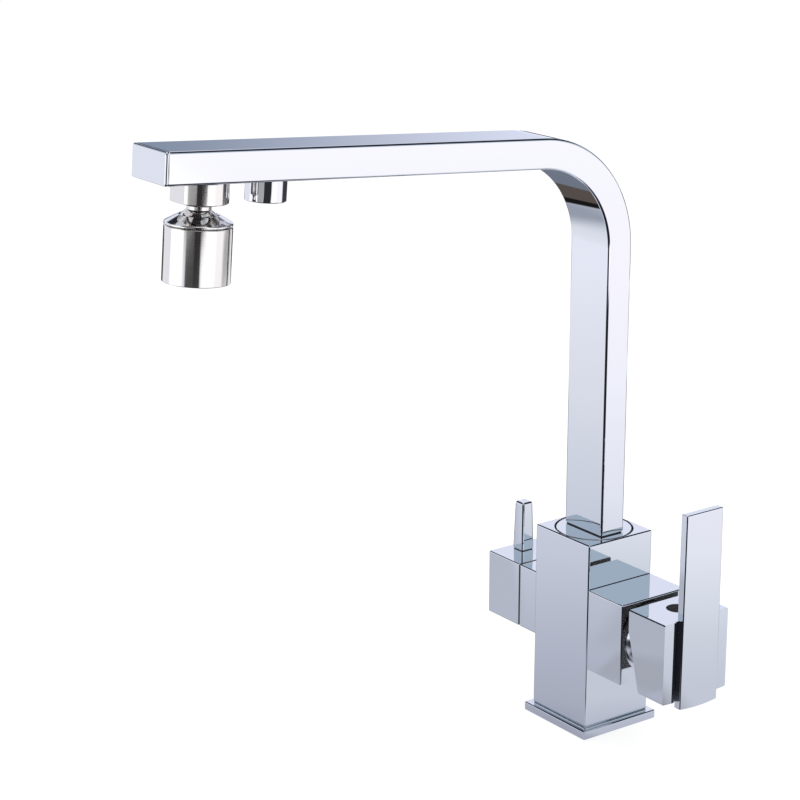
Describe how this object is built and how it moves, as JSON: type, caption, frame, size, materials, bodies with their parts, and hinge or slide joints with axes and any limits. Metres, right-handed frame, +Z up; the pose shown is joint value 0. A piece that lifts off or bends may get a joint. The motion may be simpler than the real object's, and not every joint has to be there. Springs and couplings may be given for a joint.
{
  "type": "three-way kitchen tap",
  "caption": "Deck-mounted three-way kitchen tap: square column, side mixer lever, side knob for filtered water, flat swivel spout with a tilting aerator and a separate filtered outlet.",
  "frame": {"origin": "centre of the base plate's underside, on the worktop", "axes": "+Z up along the column and the spout's swivel axis, +X along the mixer lever's axis away from the column, -Y along the spout's arm over the sink"},
  "size_m": [0.1567, 0.3, 0.3523],
  "materials": {
    "chrome": "polished chrome plate on brass",
    "satin": "satin to bright nickel",
    "brass": "machined brass",
    "steel": "machined stainless steel",
    "rubber": "matt black rubber",
    "white_plastic": "moulded plastic",
    "black_plastic": "moulded plastic",
    "ceramic": "ground ceramic"
  },
  "bodies": {
    "tap_base": {"column": "chrome", "base_plate": "chrome", "base_gasket": "rubber", "valve_block": "chrome", "cartridge_base": "white_plastic", "port_seals": "rubber", "cartridge_shell": "white_plastic", "fixed_disc": "ceramic", "cartridge_nut": "brass", "valve_bonnet": "chrome", "filter_stub": "chrome", "filter_headwork": "brass", "filter_seal": "rubber", "filter_fixed_disc": "ceramic", "bearing_ring": "white_plastic", "retaining_screw": "steel", "tube_seal": "rubber"},
    "cartridge_turret": {"turret": "white_plastic", "pivot_pin": "steel"},
    "mixer_slide": {"slide_disc": "ceramic", "disc_carrier": "black_plastic"},
    "lever": {"lever_stem": "steel", "lever_hub": "chrome", "lever_plate": "chrome", "plate_screws": "steel", "hub_grub_screw": "steel"},
    "filter_knob_set": {"filter_turn_disc": "ceramic", "filter_spindle": "brass", "filter_knob": "chrome", "filter_pin": "chrome"},
    "spout": {"spout_shank": "chrome", "shank_o_rings": "rubber", "spout_tube": "chrome", "tip_cap": "chrome", "filter_tube": "white_plastic", "nozzle_block": "brass", "filter_nozzle": "chrome", "nozzle_insert": "black_plastic", "outlet_boss": "brass", "aerator_adapter": "satin", "adapter_seal": "rubber"},
    "aerator_swivel": {"swivel_stem": "satin", "stem_seal": "rubber", "neck_washer": "rubber", "swivel_ball": "satin"},
    "aerator_head": {"shoulder_cap": "satin", "ball_seat": "white_plastic", "lower_seat": "white_plastic", "aerator_housing": "satin", "aerator_core": "white_plastic", "aerator_screen": "steel", "aerator_sleeve": "black_plastic"}
  },
  "joints": [
    {"name": "spout_swivel", "type": "hinge", "parent": "tap_base", "child": "spout", "pos_m": [0, 0, 0.1115], "axis": [0, 0, 1], "continuous": true},
    {"name": "lever_turn", "type": "hinge", "parent": "tap_base", "child": "cartridge_turret", "pos_m": [0.04696, 0, 0.0633], "axis": [1, 0, 0], "range_deg": [-50, 50]},
    {"name": "lever_tilt", "type": "hinge", "parent": "cartridge_turret", "child": "lever", "pos_m": [0.04696, 0, 0.0633], "axis": [0, 1, 0], "range_deg": [0, 25]},
    {"name": "mixer_disc_slide", "type": "slide", "parent": "cartridge_turret", "child": "mixer_slide", "axis": [0, 0, 1], "range_m": [0, 0.0033]},
    {"name": "filter_turn", "type": "hinge", "parent": "tap_base", "child": "filter_knob_set", "pos_m": [-0.0416, 0, 0.0625], "axis": [1, 0, 0], "range_deg": [0, 90]},
    {"name": "aerator_spin", "type": "hinge", "parent": "spout", "child": "aerator_swivel", "pos_m": [0, -0.24793, 0.31136], "axis": [0, -0.0785, -0.9969], "continuous": true},
    {"name": "aerator_tilt", "type": "hinge", "parent": "aerator_swivel", "child": "aerator_head", "pos_m": [0, -0.24793, 0.31136], "axis": [1, 0, 0], "range_deg": [-15, 15]}
  ],
  "couplings": [
    {"joint": "mixer_disc_slide", "follows": "lever_tilt", "m_per_rad": 0.007226}
  ]
}
